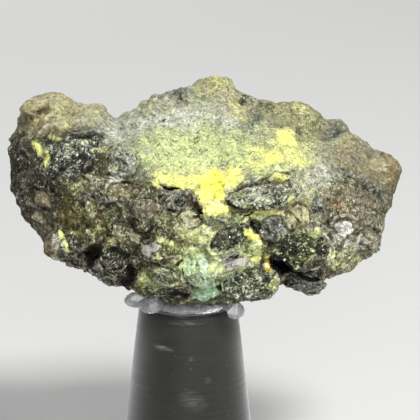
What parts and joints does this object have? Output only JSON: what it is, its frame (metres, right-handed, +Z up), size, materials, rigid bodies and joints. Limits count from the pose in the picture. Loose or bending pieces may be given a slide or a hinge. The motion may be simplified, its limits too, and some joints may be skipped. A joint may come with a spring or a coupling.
{
  "type": "mineral specimen on a stand",
  "caption": "Miniature mineral specimen: a rough lump of dark skarn crusted with lemon-yellow pottsite, held by clear putty on a plain tapered display stand.",
  "frame": {"origin": "centre of the stand's flat foot, on the surface it stands on", "axes": "+Z up along the stand's axis, +X to the right seen from the front, -Y out of the specimen's best face towards the viewer"},
  "size_m": [0.0458, 0.0255, 0.0491],
  "materials": {
    "rock": "rough broken skarn with lemon-yellow and pale green crusts, dusted with white",
    "putty": "clear, slightly cloudy mounting putty",
    "stand": "frosted clear acrylic, turned, with faint tool rings"
  },
  "bodies": {
    "root": {"rock": "rock", "putty": "putty", "stand": "stand"}
  },
  "joints": []
}
